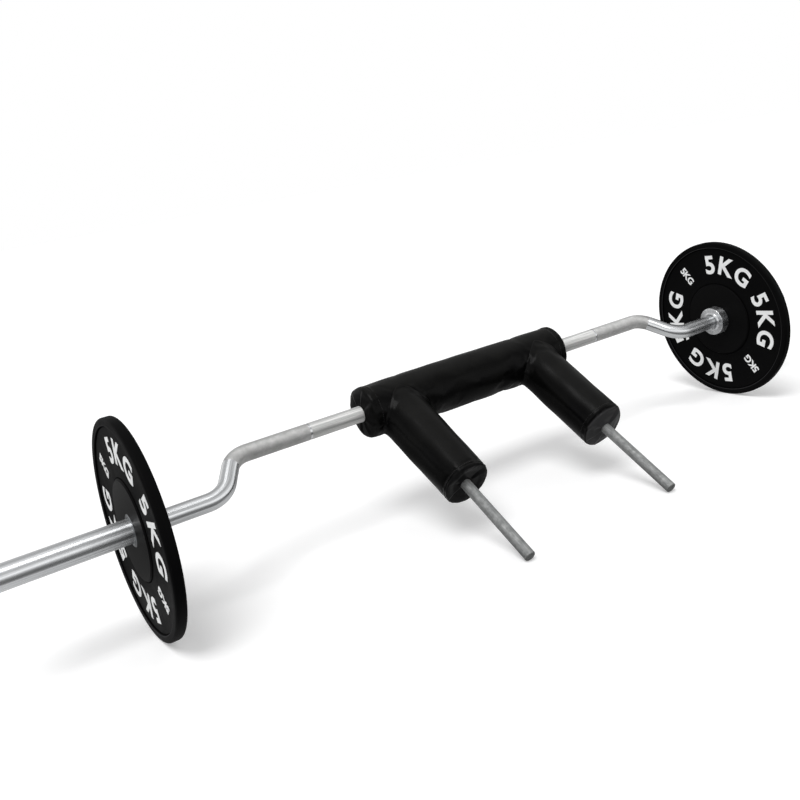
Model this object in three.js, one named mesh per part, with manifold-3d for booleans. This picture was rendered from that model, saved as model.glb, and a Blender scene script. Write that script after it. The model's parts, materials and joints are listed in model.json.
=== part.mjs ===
import * as THREE from 'three';
import { mergeVertices } from 'three/addons/utils/BufferGeometryUtils.js';
import Module from 'manifold-3d';

const wasm = await Module();
wasm.setup();

// A safety squat bar standing on its two plates and its two handle tips.
// X runs along the bar, the handles point towards -Y, Z is up, lengths are in millimetres.

// Fits shared by all pieces
const seatGap = 0.3;
const runningGap = 0.5;
const endFloat = 0.5;
const cutOverrun = 5;
const weldTolerance = 0.001;

// Cranked shaft: a bent tube, its middle length set back from the sleeves' axis.
// The run and the stub are measured between the corners that the bends round off.
const shaftDiameter = 38;
const shaftWall = 4;
const camber = 96;
const middleHalfLength = 622;
const crankRun = 60;
const stubLength = 143;
const innerBendRadius = 58;
const outerBendRadius = 68;

// Spindles: turned bars plugged into the shaft's ends, which the sleeves spin on
const spindleDiameter = 28;
const spindleRootLength = 70;
const spindleEdge = 1;
const boltDiameter = 10;
const boltShankLength = 26;
const boltHeadWidth = 17;
const boltHeadHeight = 6.4;
const retainerDiameter = 35;
const retainerThickness = 3;

// Sleeves, with the collar that stops the plates and the length beyond it that takes them
const sleeveDiameter = 50;
const sleeveBore = 37;
const sleeveEdge = 2;
const loadLength = 281.5;
const collarDiameter = 78;
const collarLength = 28.5;
const collarFlange = 7;
const collarEdge = 1.5;
const bossDiameter = 54;
const bossHeight = 3;
const thrustWasherThickness = 2;
const bushLength = 34;
const bushFlange = 2;
const bushEdge = 0.5;
const outerBushInset = 30;
const capThickness = 6;
const capRecess = 2;
const capDish = 1.5;
const capEdge = 1;

// Plates, one on each sleeve, with a steel hub pressed into the rubber
const plateDiameter = 450;
const plateThickness = 23;
const plateEdge = 5;
const lipWidth = 12;
const faceRecess = 3;
const recessSlope = 2.5;
const hubBaseDiameter = 198;
const hubTopDiameter = 160;
const insertDiameter = 67;
const insertEdge = 1;
const plateBoreClearance = 0.6;

// Handles: straight rods welded to the shaft, which run out through the arm pads
const handleDiameter = 25;
const handleSpacing = 419;
const handleReach = 419;
const handleEdge = 1.5;
const weldLeg = 4;
const weldLip = 1;

// Pads: foam rolls in sewn vinyl covers, with gathered ends
const padOverhang = 76.5;
const neckPadDiameter = 123;
const armPadDiameter = 118;
const armPadReach = 199;
const coverThickness = 2;
const padEdge = 7;
const closureDraw = 5;
const pleatDepth = 3;
const cinchInset = 16;
const cinchDepth = 1.2;

// Facets and folds
const shaftSides = 20;
const bendSteps = 6;
const roundSides = 24;
const boltSides = 12;
const plateSides = 48;
const pleatCount = 8;
const sidesPerPleat = 4;
const padSides = pleatCount * sidesPerPleat;

// Sizes that follow from the ones above
const shaftRadius = shaftDiameter / 2;
const handleRadius = handleDiameter / 2;
const sleeveRadius = sleeveDiameter / 2;
const spindleRadius = spindleDiameter / 2;
const plateRadius = plateDiameter / 2;
const neckPadRadius = neckPadDiameter / 2;
const armPadRadius = armPadDiameter / 2;
const neckPadLength = handleSpacing + 2 * padOverhang;
const collarStart = middleHalfLength + crankRun + stubLength;
const shaftEnd = collarStart + collarFlange;
const collarEnd = collarStart + collarLength;
const sleeveEnd = collarEnd + loadLength;

// Tilt at which the handle tips' lower edges and the plates stand on the same floor
const tipReach = handleReach - handleEdge;
const restTilt = Math.asin(plateRadius / Math.hypot(tipReach, handleRadius)) - Math.atan2(handleRadius, tipReach);
const frontReach = handleReach * Math.cos(restTilt) + (handleRadius - handleEdge) * Math.sin(restTilt);
const axisY = (frontReach - plateRadius) / 2;

// Finishes
const chrome = new THREE.MeshStandardMaterial({ color: 0xd8dadc, roughness: 0.12, metalness: 1 });
const knurledChrome = new THREE.MeshStandardMaterial({ color: 0xb9bab6, roughness: 0.42, metalness: 1 });
const satinChrome = new THREE.MeshStandardMaterial({ color: 0x9b9d9c, roughness: 0.36, metalness: 1 });
const steel = new THREE.MeshStandardMaterial({ color: 0x8d8f92, roughness: 0.45, metalness: 1 });
const bronze = new THREE.MeshStandardMaterial({ color: 0xa9793f, roughness: 0.4, metalness: 1 });
const vinyl = new THREE.MeshStandardMaterial({ color: 0x161617, roughness: 0.42, metalness: 0 });
const foam = new THREE.MeshStandardMaterial({ color: 0x3a3a3c, roughness: 0.95, metalness: 0 });
const rubber = new THREE.MeshStandardMaterial({ color: 0x1d1d1f, roughness: 0.7, metalness: 0 });
const capPlastic = new THREE.MeshStandardMaterial({ color: 0x202022, roughness: 0.5, metalness: 0 });

// Position-only geometry with shared corners and without empty triangles
function plain(geometry) {
  const bare = geometry.clone();
  for (const name of Object.keys(bare.attributes)) {
    if (name !== 'position') bare.deleteAttribute(name);
  }
  const merged = mergeVertices(bare, weldTolerance);
  const corners = merged.index.array;
  const kept = [];
  for (let i = 0; i < corners.length; i += 3) {
    const [a, b, c] = [corners[i], corners[i + 1], corners[i + 2]];
    if (a !== b && b !== c && c !== a) kept.push(a, b, c);
  }
  merged.setIndex(kept);
  return merged;
}

// Turns a closed geometry right side out
function outward(geometry) {
  const place = geometry.getAttribute('position');
  const corners = geometry.index.array;
  const [p, q, r] = [new THREE.Vector3(), new THREE.Vector3(), new THREE.Vector3()];
  let volume = 0;
  for (let i = 0; i < corners.length; i += 3) {
    p.fromBufferAttribute(place, corners[i]);
    q.fromBufferAttribute(place, corners[i + 1]);
    r.fromBufferAttribute(place, corners[i + 2]);
    volume += p.dot(q.cross(r));
  }
  if (volume >= 0) return geometry;
  const flipped = [];
  for (let i = 0; i < corners.length; i += 3) flipped.push(corners[i], corners[i + 2], corners[i + 1]);
  geometry.setIndex(flipped);
  return geometry;
}

function toSolid(geometry) {
  const vertProperties = new Float32Array(geometry.getAttribute('position').array);
  const triVerts = new Uint32Array(geometry.index.array);
  return new wasm.Manifold(new wasm.Mesh({ numProp: 3, vertProperties, triVerts }));
}

function toGeometry(solid) {
  const mesh = solid.getMesh();
  const geometry = new THREE.BufferGeometry();
  geometry.setAttribute('position', new THREE.BufferAttribute(new Float32Array(mesh.vertProperties), 3));
  geometry.setIndex(Array.from(mesh.triVerts));
  return geometry;
}

function cut(geometry, ...tools) {
  return toGeometry(tools.reduce((solid, tool) => solid.subtract(toSolid(tool)), toSolid(geometry)));
}

// Revolves an outline of [x, radius] pairs about X
function turned(outline, sides = roundSides, phase = 0) {
  const points = outline.map(([x, radius]) => new THREE.Vector2(radius, x));
  const geometry = new THREE.LatheGeometry(points, sides, phase);
  geometry.rotateZ(-Math.PI / 2);
  return outward(plain(geometry));
}

// The same for an outline that stays off the axis and closes on itself
function turnedRing(outline, sides = roundSides, phase = 0) {
  return turned([...outline, outline[0]], sides, phase);
}

function rod(start, end, radius, sides = roundSides) {
  return turned([[start, 0], [start, radius], [end, radius], [end, 0]], sides);
}

// Corner radius of a faceted hole whose flats clear a round piece by the gap
function holeAround(radius, gap, sides = roundSides) {
  return (radius + gap) / Math.cos(Math.PI / sides);
}

// A path that runs through given stations, each with its own direction
class StationPath extends THREE.Curve {
  constructor(stations) {
    super();
    this.stations = stations;
  }
  blend(t, key, target) {
    const place = t * (this.stations.length - 1);
    const index = Math.min(Math.floor(place), this.stations.length - 2);
    return target.lerpVectors(this.stations[index][key], this.stations[index + 1][key], place - index);
  }
  getPoint(t, target = new THREE.Vector3()) {
    return this.blend(t, 'point', target);
  }
  getTangent(t, target = new THREE.Vector3()) {
    return this.blend(t, 'direction', target).normalize();
  }
  getUtoTmapping(u) {
    return u;
  }
}

// Stations along a route in the XY plane, each inner corner rounded to its radius
function roundedRoute(corners, radii) {
  const stations = [];
  const headings = corners.slice(1).map((corner, i) => corner.clone().sub(corners[i]).normalize());
  stations.push({ point: corners[0], direction: headings[0] });
  radii.forEach((radius, i) => {
    const [before, after] = [headings[i], headings[i + 1]];
    const turn = Math.atan2(before.x * after.y - before.y * after.x, before.dot(after));
    const setback = radius * Math.tan(Math.abs(turn) / 2);
    const start = corners[i + 1].clone().addScaledVector(before, -setback);
    const inwards = new THREE.Vector3(-before.y, before.x, 0).multiplyScalar(Math.sign(turn));
    const centre = start.clone().addScaledVector(inwards, radius);
    const spinAxis = new THREE.Vector3(0, 0, 1);
    for (let step = 0; step <= bendSteps; step++) {
      const angle = (turn * step) / bendSteps;
      const point = start.clone().sub(centre).applyAxisAngle(spinAxis, angle).add(centre);
      stations.push({ point, direction: before.clone().applyAxisAngle(spinAxis, angle) });
    }
  });
  stations.push({ point: corners.at(-1), direction: headings.at(-1) });
  return stations;
}

function shaftTube() {
  const cornerX = [shaftEnd, middleHalfLength + crankRun, middleHalfLength];
  const cornerY = [0, 0, camber];
  const right = cornerX.map((x, i) => new THREE.Vector3(x, cornerY[i], 0));
  const left = cornerX.map((x, i) => new THREE.Vector3(-x, cornerY[i], 0)).reverse();
  const radii = [outerBendRadius, innerBendRadius, innerBendRadius, outerBendRadius];
  const stations = roundedRoute([...right, ...left], radii);
  const section = new THREE.Shape();
  section.absarc(0, 0, shaftRadius, 0, 2 * Math.PI);
  const bore = new THREE.Path();
  bore.absarc(0, 0, shaftRadius - shaftWall, 0, 2 * Math.PI);
  section.holes.push(bore);
  const extrusion = {
    steps: stations.length - 1,
    curveSegments: shaftSides / 2,
    extrudePath: new StationPath(stations),
  };
  return outward(plain(new THREE.ExtrudeGeometry(section, extrusion)));
}

// Places along one end of the bar, outwards from the collar
const washerStart = shaftEnd + seatGap;
const bushStart = washerStart + thrustWasherThickness + seatGap;
const sleeveStart = bushStart + bushFlange + seatGap;
const outerBushEnd = sleeveEnd - outerBushInset;
const spindleEnd = outerBushEnd + endFloat;
const retainerStart = spindleEnd + seatGap;
const retainerEnd = retainerStart + retainerThickness;
const boltHeadStart = retainerEnd + seatGap;
const plateStart = collarEnd + seatGap;
const plateEnd = plateStart + plateThickness;

function spindle() {
  const rootRadius = shaftRadius - shaftWall - seatGap;
  const holeRadius = holeAround(boltDiameter / 2, seatGap);
  const holeEnd = boltHeadStart - boltShankLength - seatGap;
  return turned([
    [shaftEnd - spindleRootLength, 0],
    [shaftEnd - spindleRootLength, rootRadius - spindleEdge],
    [shaftEnd - spindleRootLength + spindleEdge, rootRadius],
    [shaftEnd, rootRadius],
    [shaftEnd, spindleRadius],
    [spindleEnd - spindleEdge, spindleRadius],
    [spindleEnd, spindleRadius - spindleEdge],
    [spindleEnd, holeRadius],
    [holeEnd, holeRadius],
    [holeEnd, 0],
  ]);
}

function thrustWasher() {
  const inner = holeAround(spindleRadius, runningGap);
  return turnedRing([
    [washerStart, sleeveRadius],
    [washerStart + thrustWasherThickness, sleeveRadius],
    [washerStart + thrustWasherThickness, inner],
    [washerStart, inner],
  ]);
}

function innerBush() {
  const body = sleeveBore / 2 - seatGap;
  const inner = holeAround(spindleRadius, runningGap);
  return turnedRing([
    [bushStart, sleeveRadius],
    [bushStart + bushFlange, sleeveRadius],
    [bushStart + bushFlange, body],
    [bushStart + bushLength - bushEdge, body],
    [bushStart + bushLength, body - bushEdge],
    [bushStart + bushLength, inner],
    [bushStart, inner],
  ]);
}

function outerBush() {
  const body = sleeveBore / 2 - seatGap;
  const inner = holeAround(spindleRadius, runningGap);
  return turnedRing([
    [outerBushEnd - bushLength, body - bushEdge],
    [outerBushEnd - bushLength + bushEdge, body],
    [outerBushEnd, body],
    [outerBushEnd, inner],
    [outerBushEnd - bushLength, inner],
  ]);
}

function sleeveTube() {
  const inner = sleeveBore / 2;
  return turnedRing([
    [sleeveStart, sleeveRadius],
    [sleeveEnd - sleeveEdge, sleeveRadius],
    [sleeveEnd, sleeveRadius - sleeveEdge],
    [sleeveEnd, inner],
    [sleeveStart, inner],
  ]);
}

function collar() {
  const outer = collarDiameter / 2;
  const boss = bossDiameter / 2;
  const throat = holeAround(shaftRadius, runningGap);
  const seat = holeAround(sleeveRadius, seatGap);
  return turnedRing([
    [collarStart - bossHeight, boss - bossHeight],
    [collarStart, boss],
    [collarStart, outer - collarEdge],
    [collarStart + collarEdge, outer],
    [collarEnd - collarEdge, outer],
    [collarEnd, outer - collarEdge],
    [collarEnd, seat],
    [shaftEnd, seat],
    [shaftEnd, throat],
    [collarStart - bossHeight, throat],
  ]);
}

function retainingWasher() {
  const outer = retainerDiameter / 2;
  const inner = holeAround(boltDiameter / 2, seatGap);
  return turnedRing([
    [retainerStart, outer],
    [retainerEnd, outer],
    [retainerEnd, inner],
    [retainerStart, inner],
  ]);
}

function retainingBolt() {
  const headRadius = boltHeadWidth / Math.sqrt(3);
  const head = new THREE.CylinderGeometry(headRadius, headRadius, boltHeadHeight, 6);
  head.rotateZ(-Math.PI / 2);
  head.translate(boltHeadStart + boltHeadHeight / 2, 0, 0);
  const shankEnd = boltHeadStart + boltHeadHeight / 2;
  const shank = rod(boltHeadStart - boltShankLength, shankEnd, boltDiameter / 2, boltSides);
  return toGeometry(toSolid(outward(plain(head))).add(toSolid(shank)));
}

function endCap() {
  const face = sleeveEnd - capRecess;
  const outer = sleeveBore / 2 - seatGap;
  const dish = outer / 2;
  return turned([
    [face - capThickness, 0],
    [face - capThickness, outer],
    [face - capEdge, outer],
    [face, outer - capEdge],
    [face, dish],
    [face - capDish, dish - capDish],
    [face - capDish, 0],
  ]);
}

// One face of the plate, from the rim towards the hub, as [depth below the lip, radius]
function plateFace() {
  const lip = plateRadius - plateEdge - lipWidth;
  return [
    [plateEdge, 0],
    [plateEdge * (1 - Math.SQRT1_2), plateEdge * (1 - Math.SQRT1_2)],
    [0, plateEdge],
    [0, plateRadius - lip],
    [faceRecess, plateRadius - lip + recessSlope],
    [faceRecess, plateRadius - hubBaseDiameter / 2],
    [0, plateRadius - hubTopDiameter / 2],
  ].map(([depth, inset]) => [depth, plateRadius - inset]);
}

// Flats, not corners, lie lowest on the rim, so that the plate stands on one of them
function rubberPlate() {
  const flatten = 1 / Math.cos(Math.PI / plateSides);
  const bore = insertDiameter / 2 + seatGap;
  const outerFace = plateFace().map(([depth, radius]) => [plateEnd - depth, radius * flatten]);
  const innerFace = plateFace().map(([depth, radius]) => [plateStart + depth, radius * flatten]).reverse();
  const outline = [...outerFace, [plateEnd, bore * flatten], [plateStart, bore * flatten], ...innerFace];
  return turnedRing(outline, plateSides, Math.PI / plateSides);
}

function plateInsert() {
  const outer = insertDiameter / 2;
  const inner = holeAround(sleeveRadius, plateBoreClearance);
  return turnedRing([
    [plateStart, outer - insertEdge],
    [plateStart + insertEdge, outer],
    [plateEnd - insertEdge, outer],
    [plateEnd, outer - insertEdge],
    [plateEnd, inner + insertEdge],
    [plateEnd - insertEdge, inner],
    [plateStart + insertEdge, inner],
    [plateStart, inner + insertEdge],
  ]);
}

// Arm pieces run along their own X from the shaft's axis, with the shaft along their Y
const armTip = camber + handleReach;
const armPadEnd = camber + armPadReach;

function acrossArm(radius, halfLength, sides) {
  const geometry = rod(-halfLength, halfLength, radius, sides);
  geometry.rotateZ(Math.PI / 2);
  return geometry;
}

function shaftCutter() {
  return acrossArm(holeAround(shaftRadius, seatGap, shaftSides), armPadRadius, shaftSides);
}

function neckPadCutter(gap) {
  return acrossArm(holeAround(neckPadRadius, gap, padSides), armPadDiameter, padSides);
}

function handle() {
  const blank = turned([
    [shaftRadius / 2, 0],
    [shaftRadius / 2, handleRadius],
    [armTip - handleEdge, handleRadius],
    [armTip, handleRadius - handleEdge],
    [armTip, 0],
  ]);
  return cut(blank, shaftCutter());
}

// Outline of the weld bead, grown by a clearance for the hollow that the foam leaves round it
function beadBlank(growth) {
  const inner = holeAround(handleRadius, seatGap) - growth;
  const outer = handleRadius + weldLeg + growth;
  return turnedRing([
    [0, outer],
    [shaftRadius, outer],
    [shaftRadius + weldLeg, inner + weldLip + 2 * growth],
    [shaftRadius + weldLeg + growth, inner],
    [0, inner],
  ]);
}

function weldBead() {
  return cut(beadBlank(0), shaftCutter());
}

// Folds of a gathered end: ridges run out from the rod and fade at the rim
function pleat(geometry, ends, rimRadius, holeRadius) {
  const place = geometry.getAttribute('position');
  for (let i = 0; i < place.count; i++) {
    const [x, y, z] = [place.getX(i), place.getY(i), place.getZ(i)];
    const radius = Math.hypot(y, z);
    const nearEnd = ends.find((end) => Math.abs(x - end) < closureDraw + coverThickness + padEdge);
    if (nearEnd === undefined || radius > rimRadius - padEdge / 2) continue;
    const along = (rimRadius - radius) / (rimRadius - holeRadius);
    const fold = Math.abs(Math.sin((pleatCount * Math.atan2(z, y)) / 2));
    place.setX(i, x - Math.sign(nearEnd) * pleatDepth * fold * Math.sin(Math.PI * along));
  }
  return geometry;
}

// Outside of a gathered pad end, from the cylinder round the rim to the rod's hole
function gatheredEnd(end, radius, hole) {
  const soft = padEdge * (1 - Math.SQRT1_2);
  return [
    [end - cinchInset - padEdge / 2, radius],
    [end - cinchInset, radius - cinchDepth],
    [end - padEdge, radius],
    [end - soft, radius - soft],
    [end, radius - padEdge],
    [end - closureDraw / 2, (radius + hole) / 2],
    [end - closureDraw, hole],
  ];
}

// Inside of the same end, a cover's thickness in, with plain walls
function gatheredLining(end, radius, hole) {
  return [
    [end - closureDraw - coverThickness, hole],
    [end - closureDraw / 2 - coverThickness, (radius + hole) / 2],
    [end - coverThickness, radius - padEdge - coverThickness],
    [end - padEdge - coverThickness, radius - cinchDepth - coverThickness],
  ];
}

function mirrored(outline) {
  return outline.map(([x, radius]) => [-x, radius]).reverse();
}

function neckCover() {
  const hole = holeAround(shaftRadius, seatGap, padSides);
  const end = neckPadLength / 2;
  const outside = gatheredEnd(end, neckPadRadius, hole);
  const lining = gatheredLining(end, neckPadRadius, hole);
  const outline = [...mirrored(outside), ...outside, ...lining, ...mirrored(lining)];
  const blank = pleat(turnedRing(outline, padSides), [end, -end], neckPadRadius, hole);
  return cut(blank, ...handleCutters(0));
}

function armCover() {
  const hole = holeAround(handleRadius, seatGap, padSides);
  const outside = gatheredEnd(armPadEnd, armPadRadius, hole);
  const lining = gatheredLining(armPadEnd, armPadRadius, hole);
  const wall = armPadRadius - cinchDepth - coverThickness;
  const outline = [[0, armPadRadius], ...outside, ...lining, [0, wall]];
  const blank = pleat(turnedRing(outline, padSides), [armPadEnd], armPadRadius, hole);
  return cut(blank, neckPadCutter(seatGap));
}

// Foam ends stop short of the folds of the cover's gathered ends
const foamEndInset = closureDraw + coverThickness + pleatDepth + seatGap;

function foamRadius(padRadius) {
  return padRadius - cinchDepth - coverThickness - seatGap / Math.cos(Math.PI / padSides);
}

function neckFoam() {
  const outer = foamRadius(neckPadRadius);
  const end = neckPadLength / 2 - foamEndInset;
  const bore = holeAround(shaftRadius, seatGap, padSides);
  const blank = turnedRing([[-end, outer], [end, outer], [end, bore], [-end, bore]], padSides);
  return cut(blank, ...handleCutters(seatGap));
}

function armFoam() {
  const outer = foamRadius(armPadRadius);
  const bore = holeAround(handleRadius, seatGap, padSides);
  const end = armPadEnd - foamEndInset;
  const blank = turnedRing([[0, outer], [end, outer], [end, bore], [0, bore]], padSides);
  return cut(blank, neckPadCutter(seatGap));
}

// Clearance for both handles, and for their weld beads where a growth is given
function handleCutters(growth) {
  const cutters = [];
  for (const side of [-1, 1]) {
    const shapes = [rod(0, neckPadRadius + cutOverrun, holeAround(handleRadius, seatGap))];
    if (growth > 0) shapes.push(beadBlank(growth));
    for (const shape of shapes) {
      shape.rotateZ(-Math.PI / 2);
      shape.translate((side * handleSpacing) / 2, 0, 0);
      cutters.push(shape);
    }
  }
  return cutters;
}

function piece(name, geometry, material) {
  const mesh = new THREE.Mesh(geometry, material);
  mesh.name = name;
  return mesh;
}

// Pieces that turn with the bar
const bar = new THREE.Group();
bar.rotation.x = restTilt;
bar.add(piece('shaft', shaftTube(), knurledChrome));

const neckPad = new THREE.Group();
neckPad.position.y = camber;
neckPad.add(piece('neck_foam', neckFoam(), foam));
neckPad.add(piece('neck_cover', neckCover(), vinyl));
bar.add(neckPad);

const armShapes = { handle: handle(), bead: weldBead(), foam: armFoam(), cover: armCover() };
const endShapes = { spindle: spindle(), washer: retainingWasher(), bolt: retainingBolt() };
const sleeveShapes = {
  tube: sleeveTube(),
  collar: collar(),
  innerBush: innerBush(),
  outerBush: outerBush(),
  thrust: thrustWasher(),
  cap: endCap(),
};
const plateShapes = { rubber: rubberPlate(), insert: plateInsert() };

// Pieces that spin with a sleeve, and the plates that slide on it
const axle = new THREE.Group();

for (const [side, sign] of [['left', -1], ['right', 1]]) {
  const arm = new THREE.Group();
  arm.position.set((sign * handleSpacing) / 2, camber, 0);
  arm.rotation.z = -Math.PI / 2;
  arm.add(piece(`handle_${side}`, armShapes.handle, satinChrome));
  arm.add(piece(`handle_weld_${side}`, armShapes.bead, steel));
  arm.add(piece(`arm_foam_${side}`, armShapes.foam, foam));
  arm.add(piece(`arm_cover_${side}`, armShapes.cover, vinyl));
  bar.add(arm);

  const turnAbout = sign < 0 ? Math.PI : 0;
  const barEnd = new THREE.Group();
  barEnd.rotation.z = turnAbout;
  barEnd.add(piece(`spindle_${side}`, endShapes.spindle, steel));
  barEnd.add(piece(`retaining_washer_${side}`, endShapes.washer, steel));
  barEnd.add(piece(`retaining_bolt_${side}`, endShapes.bolt, steel));
  bar.add(barEnd);

  const sleeve = new THREE.Group();
  sleeve.rotation.z = turnAbout;
  sleeve.add(piece(`sleeve_${side}`, sleeveShapes.tube, chrome));
  sleeve.add(piece(`collar_${side}`, sleeveShapes.collar, chrome));
  sleeve.add(piece(`inner_bush_${side}`, sleeveShapes.innerBush, bronze));
  sleeve.add(piece(`outer_bush_${side}`, sleeveShapes.outerBush, bronze));
  sleeve.add(piece(`thrust_washer_${side}`, sleeveShapes.thrust, bronze));
  sleeve.add(piece(`end_cap_${side}`, sleeveShapes.cap, capPlastic));
  sleeve.add(piece(`plate_${side}`, plateShapes.rubber, rubber));
  sleeve.add(piece(`plate_hub_${side}`, plateShapes.insert, chrome));
  axle.add(sleeve);
}

const safetySquatBar = new THREE.Group();
safetySquatBar.position.set(0, axisY, plateRadius);
safetySquatBar.add(bar, axle);

export default safetySquatBar;
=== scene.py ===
import json
import math

import bmesh
import bpy
from mathutils import Matrix, Vector, noise


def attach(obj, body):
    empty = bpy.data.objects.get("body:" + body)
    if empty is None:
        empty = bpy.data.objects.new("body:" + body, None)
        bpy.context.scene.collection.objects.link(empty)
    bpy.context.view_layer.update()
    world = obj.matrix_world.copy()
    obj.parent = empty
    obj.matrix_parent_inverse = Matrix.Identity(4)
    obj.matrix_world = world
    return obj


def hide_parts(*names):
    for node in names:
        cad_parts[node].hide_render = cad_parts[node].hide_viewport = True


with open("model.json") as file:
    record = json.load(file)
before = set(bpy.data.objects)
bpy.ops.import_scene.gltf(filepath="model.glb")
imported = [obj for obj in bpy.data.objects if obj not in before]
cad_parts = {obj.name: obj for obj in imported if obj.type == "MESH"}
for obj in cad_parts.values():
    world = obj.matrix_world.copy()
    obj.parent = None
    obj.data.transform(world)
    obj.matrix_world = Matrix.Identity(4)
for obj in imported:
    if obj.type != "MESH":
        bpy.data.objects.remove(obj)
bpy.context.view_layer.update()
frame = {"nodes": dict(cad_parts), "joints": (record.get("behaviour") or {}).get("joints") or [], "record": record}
scene = bpy.context.scene
print("frame loaded")

# The safety squat bar stands on its plates and handle tips: X along the bar, Z up, metres.

mounts = {mount["name"]: mount for mount in frame["record"]["mounts"]}
joints = {joint["name"]: joint for joint in frame["joints"]}
axleY, axleZ = joints["sleeve_spin_left"]["pos_m"][1:]
handleAxis = mounts["handle_end_left"]["axis"]
barTilt = math.atan2(-handleAxis[2], -handleAxis[1])
axlePlace = Matrix.Translation((0, axleY, axleZ))
barPlace = axlePlace @ Matrix.Rotation(barTilt, 4, "X")
halfTurn = Matrix.Rotation(math.pi, 4, "Z")
acrossArm = Matrix.Rotation(math.pi / 2, 4, "Z")
outAlongArm = Matrix.Rotation(-math.pi / 2, 4, "Z")
sides = {"left": -1, "right": 1}

# Camera at the photograph's viewing angle

cameraView = {
    "place": (-1.25085, -1.70055, 0.83892),
    "turnDegrees": (79.549, 9.588, -33.799),
    "sensorWidth": 36,
    "lens": 41.652,
    "shift": (-0.02866, -0.09690),
    "clipEnd": 60,
}

bpy.ops.object.camera_add(
    location=cameraView["place"],
    rotation=[math.radians(angle) for angle in cameraView["turnDegrees"]],
)
camera = bpy.context.object
camera.data.sensor_width = cameraView["sensorWidth"]
camera.data.lens = cameraView["lens"]
camera.data.shift_x, camera.data.shift_y = cameraView["shift"]
camera.data.clip_end = cameraView["clipEnd"]
scene.camera = camera
scene.view_settings.view_transform = "Standard"


# Node helpers


def feed(tree, node, inputs):
    # a socket is linked to its input, any other value becomes the input's constant
    for key, value in inputs.items() if isinstance(inputs, dict) else enumerate(inputs):
        if isinstance(value, bpy.types.NodeSocket):
            tree.links.new(value, node.inputs[key])
        else:
            node.inputs[key].default_value = value
    return node.outputs


def addNode(tree, kind, inputs=(), **settings):
    node = tree.nodes.new("ShaderNode" + kind)
    for key, value in settings.items():
        setattr(node, key, value)
    return feed(tree, node, inputs)


def math2(tree, operation, a, b=0.0):
    return addNode(tree, "Math", (a, b), operation=operation)[0]


def times(tree, a, b):
    return math2(tree, "MULTIPLY", a, b)


def remap(tree, value, fromLow, fromHigh, toLow, toHigh):
    return addNode(tree, "MapRange", (value, fromLow, fromHigh, toLow, toHigh), clamp=True)[0]


def mix(tree, share, first, second, kind="RGBA", **settings):
    # the node keeps a pair of sockets for each kind of value
    slot = ("FLOAT", "VECTOR", "RGBA").index(kind)
    inputs = {0: share, 2 * slot + 2: first, 2 * slot + 3: second}
    return addNode(tree, "Mix", inputs, data_type=kind, **settings)[slot]


def bumped(tree, height, strength, distance, **base):
    return addNode(tree, "Bump", {"Strength": strength, "Distance": distance, "Height": height, **base})[0]


def objectPlace(tree):
    return addNode(tree, "TexCoord")["Object"]


def wrapPlace(tree):
    return addNode(tree, "UVMap", uv_map="wrap")[0]


# Effects that several materials share, each a group with a place and named values


def makeGroup(name, values, output, build):
    group = bpy.data.node_groups.new(name, "ShaderNodeTree")
    group.interface.new_socket(name="Place", in_out="INPUT", socket_type="NodeSocketVector")
    for title, value in values.items():
        socket = group.interface.new_socket(name=title, in_out="INPUT", socket_type="NodeSocketFloat")
        socket.default_value = value
    group.interface.new_socket(name=output, in_out="OUTPUT", socket_type="NodeSocketFloat")
    given = group.nodes.new("NodeGroupInput").outputs
    made = group.nodes.new("NodeGroupOutput").inputs
    group.links.new(build(group, given), made[output])
    return group


def useGroup(tree, group, place, **values):
    node = tree.nodes.new("ShaderNodeGroup")
    node.node_tree = group
    return feed(tree, node, {"Place": place, **values})[0]


def mottleMask(group, given):
    perMetre = math2(group, "DIVIDE", 1.0, given["Size"])
    inputs = {"Vector": given["Place"], "Scale": perMetre, "Detail": 5.0, "Roughness": 0.6}
    centred = math2(group, "SUBTRACT", addNode(group, "TexNoise", inputs)[0], 0.5)
    return math2(group, "ADD", times(group, centred, given["Contrast"]), 0.5)


def grainHeight(group, given):
    perMetre = math2(group, "DIVIDE", 1.0, given["Cell"])
    inputs = {"Vector": given["Place"], "Scale": perMetre, "Smoothness": given["Softness"]}
    cells = addNode(group, "TexVoronoi", inputs, feature="SMOOTH_F1")[0]
    fine = addNode(group, "TexNoise", {"Vector": given["Place"], "Scale": perMetre, "Detail": 3.0})[0]
    return math2(group, "ADD", cells, times(group, fine, 0.5))


def scratchMask(group, given):
    stretch = addNode(group, "CombineXYZ", (given["Along"], given["Across"], 1.0))[0]
    spread = addNode(group, "VectorMath", (given["Place"], stretch), operation="MULTIPLY")[0]
    lines = addNode(group, "TexNoise", {"Vector": spread, "Scale": 1.0, "Detail": 4.0, "Roughness": 0.7})[0]
    return remap(group, lines, math2(group, "SUBTRACT", 1.0, given["Amount"]), 1.0, 0.0, 1.0)


mottle = makeGroup("mottle", {"Size": 0.05, "Contrast": 0.5}, "Mask", mottleMask)
grain = makeGroup("grain", {"Cell": 0.001, "Softness": 0.5}, "Height", grainHeight)
scratches = makeGroup("scratches", {"Along": 8.0, "Across": 900.0, "Amount": 0.5}, "Mask", scratchMask)
cloudSpan = (0.2, 0.8)


# Materials, each with its looks beside it; a relief is the strength and depth of a bump


def makeMaterial(name, paint, looks):
    material = bpy.data.materials.new(name)
    material.use_nodes = True
    tree = material.node_tree
    feed(tree, tree.nodes["Principled BSDF"], paint(tree, looks))
    return material


def clouded(tree, cloud, values):
    # a pair of values follows the cloud, a single value is a constant
    return remap(tree, cloud, *cloudSpan, *values) if isinstance(values, tuple) else values


def groundMetal(tree, amount):
    # round grinding marks blur reflections along the tube and keep them sharp across it
    tangent = addNode(tree, "Tangent", direction_type="UV_MAP", uv_map="wrap")[0]
    return {"Metallic": 1.0, "Anisotropic": amount, "Tangent": tangent}


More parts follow.
